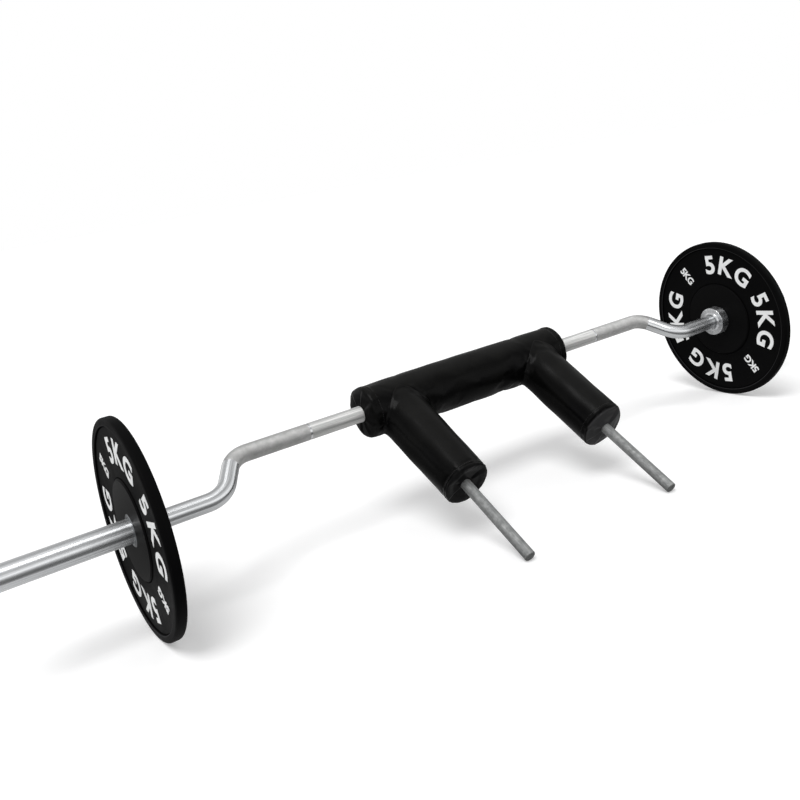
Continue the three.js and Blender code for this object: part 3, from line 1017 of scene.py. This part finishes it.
# each end: its reach, hem, puff of the cap, fillet, bulge of the closure, its share of painted light on the
# closure (pale) and the creases' angles;
# the left arm narrows by its taper, most towards that angle, its outer lower side
padEnds = {
    "neckLeft": {
        "end": 0.297, "hem": 0.017, "sink": 0.0008, "hold": 0.10, "puff": 0.0006, "fillet": 0.016,
        "pale": 0.05, "bulge": 0.0035, "fold": 0.0028, "corner": 0.12,
        "creases": (12, 66, 108, 160, 205, 244, 290, 334),
    },
    "neckRight": {
        "end": 0.290, "hem": 0.015, "sink": 0.0007, "hold": 0.15, "puff": 0.0020, "fillet": 0.009,
        "pale": 0.15, "bulge": 0.0030, "fold": 0.0028, "corner": 0.12,
        "creases": (28, 70, 121, 164, 212, 262, 301, 346),
    },
    "left": {
        "end": 0.296, "hem": 0.009, "sink": 0.0016, "hold": 0.6, "puff": 0.0026, "fillet": 0.006,
        "pale": 0.18, "bulge": -0.0050, "fold": 0.0024, "corner": 0.12, "taper": (0.0055, 205),
        "creases": (40, 160, 216, 292),
    },
    "right": {
        "end": 0.289, "hem": 0.012, "sink": 0.0, "hold": 0.0, "puff": 0.0014, "fillet": 0.0026,
        "pale": 1.0, "bulge": 0.0050, "fold": 0.0038, "corner": 0.30, "taper": (0.0, 0),
        "creases": (58, 172, 214, 262, 330),
    },
}
# where the shapes of an end rise and fade, in shares of the way from its rim to the hole
endBands = {
    "foldsRise": (0.03, 0.25),
    "foldsFade": (0.80, 1.0),
    "wallFade": (0.10, 0.25),
    "cornersFade": (0.6, 1.0),
}
filling = {
    "pressure": 4.0,
    "frames": 20,
    "stretch": -0.012,
    "neckCap": 0.0022,
    "armCap": 0.0014,
    "closureHold": 0.75,
    "closureShare": 0.8,
    "hemBand": 0.003,
    "seamBands": {"neck": 0.004, "arm": 0.006},
}
# painted light: how near each end the closures are painted paler
closureLightBand = {"run": (0.006, 0.002), "share": 0.975}


def smoothStep(low, high, value):
    share = min(max((value - low) / (high - low), 0.0), 1.0)
    return share * share * (3 - 2 * share)


def awayFromEnd(shape, x):
    start, stop = pad["endFade"]
    return 1 - smoothStep(shape["end"] - start, shape["end"] - stop, abs(x))


def creaseSpan(degrees, creases):
    # the creases before and after an angle, and the share of the way between them
    turn = degrees % 360
    before = max([crease for crease in creases if crease <= turn], default=creases[-1] - 360)
    after = min([crease for crease in creases if crease > turn], default=creases[0] + 360)
    return before, after, (turn - before) / (after - before)


def foldHeight(degrees, creases):
    # each flap climbs from its crease and drops steeply under the next one
    share = creaseSpan(degrees, creases)[2]
    steep = pad["steepShare"]
    return share / (1 - steep) if share < 1 - steep else (1 - share) / steep


def cornerLoss(degrees, creases):
    # how far a polygon with its corners on the creases lies inside its circle
    before, after, share = creaseSpan(degrees, creases)
    half = math.radians(after - before) / 2
    return 1 - math.cos(half) / math.cos(half * (2 * share - 1))


def wander(x, degrees, seed):
    angle = math.radians(degrees)
    across, up = pad["wanderRound"] * math.cos(angle), pad["wanderRound"] * math.sin(angle)
    return pad["wander"] * noise.noise(Vector((x / pad["wanderSize"], across + seed, up)))


def lap(degrees):
    # the lengthwise seam on the underside, one edge laid over the other
    beyond = (degrees - pad["lapDegrees"]) % 360
    edge = 1 - smoothStep(0, pad["lapEdgeDegrees"], beyond)
    return pad["lapDepth"] * (edge + smoothStep(*pad["lapRiseDegrees"], beyond))


def wave(kind, angle, phase):
    # waves round a hem or a seam, which crowd and spread as they go
    count, sway, turns = pad["waves"][kind]
    return math.sin(count * angle + sway * math.sin(turns * angle + phase))


def puckers(kind, angle, phase, fromSeam):
    # small waves along a sewn seam, none at the arm's top and underside
    height = wave(kind, angle, phase) * math.cos(angle) ** 2
    return pad["pucker"] * height * math.exp(-fromSeam / pad["puckerReach"])


def resampled(points, step):
    along = distances(points)
    count = max(2, round(along[-1] / step))
    made = []
    index = 0
    for number in range(count + 1):
        target = along[-1] * number / count
        while index < len(along) - 2 and along[index + 1] < target:
            index += 1
        share = (target - along[index]) / (along[index + 1] - along[index])
        made.append(points[index].lerp(points[index + 1], share))
    return made


def endProfile(shape, radius, hole):
    # half section of a pad's end: wall, rim, drawn closure and the hole for the rod
    end, bulge = shape["end"], shape["bulge"]
    corners = [
        (end - shape["hem"] - pad["endRun"], radius),
        (end, radius, shape["fillet"]),
        (end + bulge, radius * pad["closureShare"], pad["closureFillet"]),
        (end + bulge * pad["closureRise"], hole),
    ]
    return resampled(rounded(corners, 4), pad["endStep"])


def endShape(point, degrees, shape, rimRadius, hole, seed):
    # folds on the closure, a corner at each crease of the rim, a sewn hem with gathers
    x, radius = point
    creases = shape["creases"]
    angle = math.radians(degrees)
    inwards = (rimRadius - radius) / (rimRadius - hole)
    onFace = smoothStep(*endBands["foldsRise"], inwards) * (1 - smoothStep(*endBands["foldsFade"], inwards))
    onWall = 1 - smoothStep(*endBands["wallFade"], inwards)
    nearRim = 1 - smoothStep(*endBands["cornersFade"], inwards)
    fromHem = x - (shape["end"] - shape["hem"])
    groove = math.exp(-((fromHem / pad["hemWidth"]) ** 2))
    gathered = pad["gather"] * wave("hem", angle, seed) * math.exp(-abs(fromHem) / pad["gatherReach"])
    past = smoothStep(0, pad["rimFade"], fromHem)
    x += shape["fold"] * (foldHeight(degrees, creases) - 0.5) * onFace
    radius -= (shape["sink"] * groove - gathered - shape["puff"] * past) * onWall
    radius *= 1 - shape["corner"] * cornerLoss(degrees, creases) * past * nearRim
    return x, radius


def rolledSkin(name, rowCount, place):
    # a flat grid rolled into a tube; place(row, degrees) gives each corner
    columns = pad["columns"]
    divisions = {"x_subdivisions": columns, "y_subdivisions": rowCount - 1}
    skin = added(name, bpy.ops.mesh.primitive_grid_add, size=1, **divisions)
    for vertex in skin.data.vertices:
        row = round((vertex.co.y + 0.5) * (rowCount - 1))
        column = round((vertex.co.x + 0.5) * columns) % columns
        vertex.co = place(row, 360 * column / columns)
    cleanMesh(skin)
    return skin


def inflate(skin, held, cap):
    # cloth pressure fills the skin between its seams; held(corner) is how firmly a corner is sewn
    starts = [vertex.co.copy() for vertex in skin.data.vertices]
    sewn = skin.vertex_groups.new(name="sewn")
    for vertex in skin.data.vertices:
        weight = held(vertex.co)
        if weight > 0:
            sewn.add([vertex.index], weight, "REPLACE")
    activate(skin)
    cloth = skin.modifiers.new("filling", "CLOTH")
    cloth.settings.vertex_group_mass = sewn.name
    cloth.settings.use_pressure = True
    cloth.settings.uniform_pressure_force = filling["pressure"]
    cloth.settings.shrink_min = filling["stretch"]
    cloth.settings.effector_weights.gravity = 0
    cloth.collision_settings.use_collision = False
    for number in range(1, filling["frames"] + 1):
        scene.frame_set(number)
    bpy.ops.object.modifier_apply(modifier=cloth.name)
    scene.frame_set(1)
    for vertex, start in zip(skin.data.vertices, starts):
        move = vertex.co - start
        if move.length > cap:
            vertex.co = start + move * (cap / move.length)
    skin.vertex_groups.clear()


def endHold(corner, shape, rimRadius):
    # the drawn closure is held firmly, the hem as its own end says
    if abs(corner.x) > shape["end"] - pad["endBand"]:
        return filling["closureHold"]
    if math.hypot(corner.y, corner.z) < rimRadius * filling["closureShare"]:
        return filling["closureHold"]
    fromHem = abs(abs(corner.x) - (shape["end"] - shape["hem"]))
    return shape["hold"] if fromHem < filling["hemBand"] else 0.0


def makeCover(name, rowCount, place, held, cap, endAt, rimRadius):
    skin = rolledSkin(name, rowCount, place)
    inflate(skin, held, cap)
    # painted light: the drawn closures are painted paler, by each end's own share, as if lit
    closurePaleness = skin.data.attributes.new("closure", "FLOAT", "POINT")
    start, stop = closureLightBand["run"]
    for vertex, item in zip(skin.data.vertices, closurePaleness.data):
        shape = endAt(vertex.co.x)
        drawn = math.hypot(vertex.co.y, vertex.co.z) < rimRadius * closureLightBand["share"]
        past = smoothStep(shape["end"] - start, shape["end"] - stop, abs(vertex.co.x))
        item.value = shape["pale"] * past * drawn
    applyModifier(skin, "SUBSURF", levels=1, render_levels=1)
    applyModifier(skin, "SOLIDIFY", thickness=pad["wall"], offset=-1)
    activate(skin)
    bpy.ops.object.shade_smooth()
    return skin


def makeNeckCover():
    rimRadius, hole = pad["neckRadius"], shaft["radius"] + pad["hole"]
    ends = {-1: padEnds["neckLeft"], 1: padEnds["neckRight"]}
    rims = {sign: endProfile(shape, rimRadius, hole) for sign, shape in ends.items()}
    low, high = -rims[-1][0].x, rims[1][0].x
    count = round((high - low) / pad["step"])
    between = [Vector((low + (high - low) * number / count, rimRadius)) for number in range(1, count)]
    profile = [Vector((-point.x, point.y)) for point in reversed(rims[-1])] + between + rims[1]
    armMiddles = (-handle["spacing"] / 2, handle["spacing"] / 2)
    seeds = pad["seeds"]

    def signOf(x):
        return -1 if x < 0 else 1

    def place(row, degrees):
        # 0 degrees faces the arms, 90 is the top
        x, radius = profile[row]
        sign = signOf(x)
        angle = math.radians(degrees)
        if x < low + pad["endBand"] or x > high - pad["endBand"]:
            spot = Vector((abs(x), radius))
            reach, radius = endShape(spot, degrees, ends[sign], rimRadius, hole, sign * seeds["neckEnd"])
            x = sign * reach
        inside = awayFromEnd(ends[sign], x)
        radius += (wander(x, degrees, seeds["neck"]) + lap(degrees)) * inside
        for middle in armMiddles:
            height = radius * math.sin(angle)
            fromSeam = math.hypot(x - middle, height) - pad["armRadius"]
            if math.cos(angle) > 0 and fromSeam > -pad["seamBand"]:
                around = math.atan2(height, x - middle)
                radius += puckers("neckSeam", around, middle * seeds["neckSeam"], max(fromSeam, 0)) * inside
        return x, -radius * math.cos(angle), radius * math.sin(angle)

    def held(corner):
        seam = pad["armRadius"] + filling["seamBands"]["neck"]
        inSeam = any(math.hypot(corner.x - middle, corner.z) < seam for middle in armMiddles)
        atEnd = endHold(corner, ends[signOf(corner.x)], rimRadius)
        return atEnd or float(inSeam and corner.y < -rimRadius / 2)

    def endAt(x):
        return ends[signOf(x)]

    skin = makeCover("neck_cover_vinyl", len(profile), place, held, filling["neckCap"], endAt, rimRadius)
    dress(skin, neckPlace, "bar", vinyl, "vinyl", "neck_cover")
    return skin


def makeArmCover(side):
    rimRadius, hole = pad["armRadius"], handle["radius"] + pad["hole"]
    shape = padEnds[side]
    rim = endProfile(shape, rimRadius, hole)
    straight = rim[0].x
    count = round((straight - pad["neckRadius"]) / pad["step"])
    seat = pad["neckRadius"] - pad["seamSink"]
    seed = pad["seeds"]["arm"] * sides[side]
    depth, towards = shape["taper"]
    taperEnd = shape["end"] - pad["endFade"][0]

    def rootPlace(degrees):
        # the skin widens into the neck roll, most at the arm's two sides
        angle = math.radians(degrees)
        web = pad["web"] * math.cos(angle) ** 2 + pad["crownWeb"] * math.sin(angle) ** 2
        return math.sqrt(seat ** 2 - ((rimRadius + web) * math.sin(angle)) ** 2), web

    def place(row, degrees):
        # 0 degrees faces the bar's right end, 90 is the top
        angle = math.radians(degrees)
        root, web = rootPlace(degrees)
        if row >= count:
            x, radius = endShape(rim[row - count], degrees, shape, rimRadius, hole, seed)
        else:
            x = root + (straight - root) * row / count
            share = 1 - min((x - root) / pad["webLength"], 1)
            curve = 1 - math.sqrt(1 - share ** 2)
            web *= curve * math.cos(angle) ** 2 + share ** 2 * math.sin(angle) ** 2
            radius = rimRadius + web + puckers("armSeam", angle, seed, x - root)
        loose = awayFromEnd(shape, x) * smoothStep(0, pad["rootFade"], x - root)
        radius += (wander(x, degrees, seed) + lap(degrees)) * loose
        facing = max(math.cos(angle - math.radians(towards)), 0)
        radius *= 1 - depth / rimRadius * facing * smoothStep(pad["neckRadius"], taperEnd, x)
        return x, radius * math.cos(angle), radius * math.sin(angle)

    def held(corner):
        root = rootPlace(math.degrees(math.atan2(corner.z, corner.y)))[0]
        inSeam = corner.x < root + filling["seamBands"]["arm"]
        return 1.0 if inSeam else endHold(corner, shape, rimRadius)

    name = f"arm_cover_vinyl_{side}"
    skin = makeCover(name, count + len(rim), place, held, filling["armCap"], lambda x: shape, rimRadius)
    dress(skin, armPlace(side), "bar", vinyl, "vinyl", f"arm_cover_{side}")
    return skin


foamRoll = {
    "inset": 0.0050,
    "endInset": 0.016,
    "edge": 0.008,
    "rodGap": 0.0004,
    "weldRoom": 0.0050,
    "weldReach": 0.030,
    "armStart": 0.01,
    "rodReach": 0.1,
    "neckReach": 0.3,
}


def foamOutline(start, end, radius, bore):
    edge = foamRoll["edge"]
    return rounded([(start, bore), (start, radius, edge), (end, radius, edge), (end, bore)])


def makeFoam():
    gap, rodReach = foamRoll["rodGap"], foamRoll["rodReach"]
    neckRadius, armRadius = pad["neckRadius"] - foamRoll["inset"], pad["armRadius"] - foamRoll["inset"]
    end = handle["spacing"] / 2 + pad["overhang"] - foamRoll["endInset"]
    roll = turned("neck_foam_roll", foamOutline(-end, end, neckRadius, shaft["radius"] + gap))
    for side in sides:
        outwards = armInNeck(side) @ Matrix.Translation((rodReach / 2, 0, 0))
        cutAway(roll, handle["radius"] + gap, rodReach, outwards)
        cutAway(roll, handle["radius"] + foamRoll["weldRoom"], 2 * foamRoll["weldReach"], armInNeck(side))
    dress(roll, neckPlace, "bar", plain["foam"], "foam", "neck_foam")
    end = shaft["camber"] + pad["armReach"] - foamRoll["endInset"]
    for side in sides:
        outline = foamOutline(foamRoll["armStart"], end, armRadius, handle["radius"] + gap)
        roll = turned(f"arm_foam_roll_{side}", outline)
        cutAway(roll, neckRadius + gap, foamRoll["neckReach"], acrossArm)
        dress(roll, armPlace(side), "bar", plain["foam"], "foam", f"arm_foam_{side}")


stitch = {
    "size": (0.0030, 0.0008, 0.0006),
    "pitch": 0.0044,
    "fromHem": 0.0042,
}


def stitchMesh():
    piece = added("stitch", bpy.ops.mesh.primitive_cube_add, size=1)
    piece.data.transform(Matrix.Diagonal((*stitch["size"], 1)))
    applyModifier(piece, "SUBSURF", levels=1, render_levels=1)
    return takeMesh(piece)


def hemRing(place, x, radius):
    count = round(2 * math.pi * radius / stitch["pitch"])
    turns = [2 * math.pi * number / count for number in range(count)]
    return [place @ Vector((x, radius * math.cos(turn), radius * math.sin(turn))) for turn in turns]


def sewRows(name, skin, rings):
    # rings are lists of points near the skin; each point gets a stitch that lies along its ring
    single = stitchMesh()
    stamps = []
    for ring in rings:
        for index, point in enumerate(ring):
            along = (ring[(index + 1) % len(ring)] - ring[index - 1]).normalized()
            spot, normal = skin.closest_point_on_mesh(point)[1:3]
            across = normal.cross(along).normalized()
            turn = Matrix((across.cross(normal), across, normal)).transposed().to_4x4()
            stamps.append((single, Matrix.Translation(spot) @ turn))
    piece = stamped(name, stamps)
    activate(piece)
    bpy.ops.object.shade_smooth()
    dress(piece, Matrix.Identity(4), "bar", plain["thread"], "vinyl")


neckCover = makeNeckCover()
hemPlaces = {name: shape["end"] - shape["hem"] - stitch["fromHem"] for name, shape in padEnds.items()}
neckHems = (-hemPlaces["neckLeft"], hemPlaces["neckRight"])
sewRows("neck_stitches", neckCover, [hemRing(neckPlace, x, pad["neckRadius"]) for x in neckHems])
for side in sides:
    armCover = makeArmCover(side)
    sewRows(f"arm_stitches_{side}", armCover, [hemRing(armPlace(side), hemPlaces[side], pad["armRadius"])])
makeFoam()
print("pads made")


# Studio: a pale floor, a white surround with grey bands for the metal, one broad soft lamp

studio = {
    "floorSize": 60,
    "floorColours": ((0.87, 0.87, 0.875, 1), (0.89, 0.89, 0.89, 1)),
    "floorMottle": {"Size": 1.5, "Contrast": 0.3},
    "floorRoughness": 0.9,
    "floorSpecular": 0.1,
    "floorLift": 0.22,
    "white": (1, 1, 1, 1),
    # painted reflection: floor levels that only glossy rays see
    "glossyStripStops": [(0.0, 0.66), (0.09, 0.66), (0.14, 0.02), (0.40, 0.03), (0.65, 0.33), (1.0, 0.40)],
    "glossyStripWidth": 2.0,
    "domeStops": [(0.0, 0.85), (0.5, 0.60), (1.0, 0.55)],
    "mirrorStops": [
        (0.0, 1.0), (0.08, 1.6), (0.34, 1.6), (0.55, 0.85), (0.82, 0.75), (0.92, 1.0), (0.98, 1.4),
    ],
    "cardHeading": (0.556, 0.831, 0),
    "cardStops": [(0.0, 1.0), (0.60, 1.0), (0.86, 0.42), (1.0, 0.34)],
    "lampPlace": (-0.9, -0.7, 2.4),
    "lampStrength": 1.6,
    "lampSpreadDegrees": 30,
}


def raysSeen(tree, *kinds):
    path = addNode(tree, "LightPath")
    seen = path["Is Camera Ray"]
    for kind in kinds:
        seen = math2(tree, "MAXIMUM", seen, path[kind])
    return seen, path


def levelRamp(tree, value, stops):
    ramp = addNode(tree, "ValToRGB", (value,))[0]
    elements = ramp.node.color_ramp.elements
    while len(elements) < len(stops):
        elements.new(0.5)
    for element, (place, level) in zip(elements, stops):
        element.position = place
        element.color = (level, level, level, 1)
    return ramp


def floorPaint(tree, looks):
    place = objectPlace(tree)
    cloud = useGroup(tree, mottle, place, **looks["floorMottle"])
    seen, path = raysSeen(tree, "Is Glossy Ray", "Is Transmission Ray")
    # painted reflection: glossy rays alone see a darker strip of floor a little way in front of and behind the
    # bar; the camera sees the floor pale there
    back = addNode(tree, "SeparateXYZ", (place,))[1]
    fromBar = math2(tree, "ABSOLUTE", math2(tree, "SUBTRACT", back, axleY))
    strip = levelRamp(tree, math2(tree, "DIVIDE", fromBar, looks["glossyStripWidth"]), looks["glossyStripStops"])
    pale = mix(tree, cloud, *looks["floorColours"])
    return {
        "Base Color": mix(tree, path["Is Glossy Ray"], pale, strip),
        "Roughness": looks["floorRoughness"],
        "Specular IOR Level": looks["floorSpecular"],
        "Emission Color": looks["white"],
        "Emission Strength": times(tree, seen, looks["floorLift"]),
    }


def makeFloor():
    floor = added("floor", bpy.ops.mesh.primitive_plane_add, size=studio["floorSize"])
    floor.data.materials.append(makeMaterial("pale_floor", floorPaint, studio))


def makeSurround():
    # white to the camera; the metal sees it too, crossed by grey bands that draw its roundness
    world = bpy.data.worlds.new("studio_surround")
    scene.world = world
    world.use_nodes = True
    tree = world.node_tree
    seen, path = raysSeen(tree, "Is Transmission Ray")
    heading = addNode(tree, "TexCoord")["Generated"]
    height = addNode(tree, "SeparateXYZ", (heading,))[2]
    behind = addNode(tree, "VectorMath", (heading, studio["cardHeading"]), operation="DOT_PRODUCT")["Value"]
    dome = levelRamp(tree, height, studio["domeStops"])
    bands = levelRamp(tree, height, studio["mirrorStops"])
    card = levelRamp(tree, behind, studio["cardStops"])
    mirrored = mix(tree, 1.0, bands, card, blend_type="MULTIPLY")
    level = mix(tree, path["Is Glossy Ray"], dome, mirrored)
    white = mix(tree, seen, level, studio["white"])
    feed(tree, tree.nodes["Background"], {"Color": white, "Strength": 1.0})


def makeLamp():
    place = studio["lampPlace"]
    aim = Vector(place).to_track_quat("Z", "Y").to_euler()
    lamp = added("overhead_lamp", bpy.ops.object.light_add, type="SUN", location=place, rotation=aim)
    lamp.data.energy = studio["lampStrength"]
    lamp.data.angle = math.radians(studio["lampSpreadDegrees"])


makeFloor()
makeSurround()
makeLamp()
print("studio made")
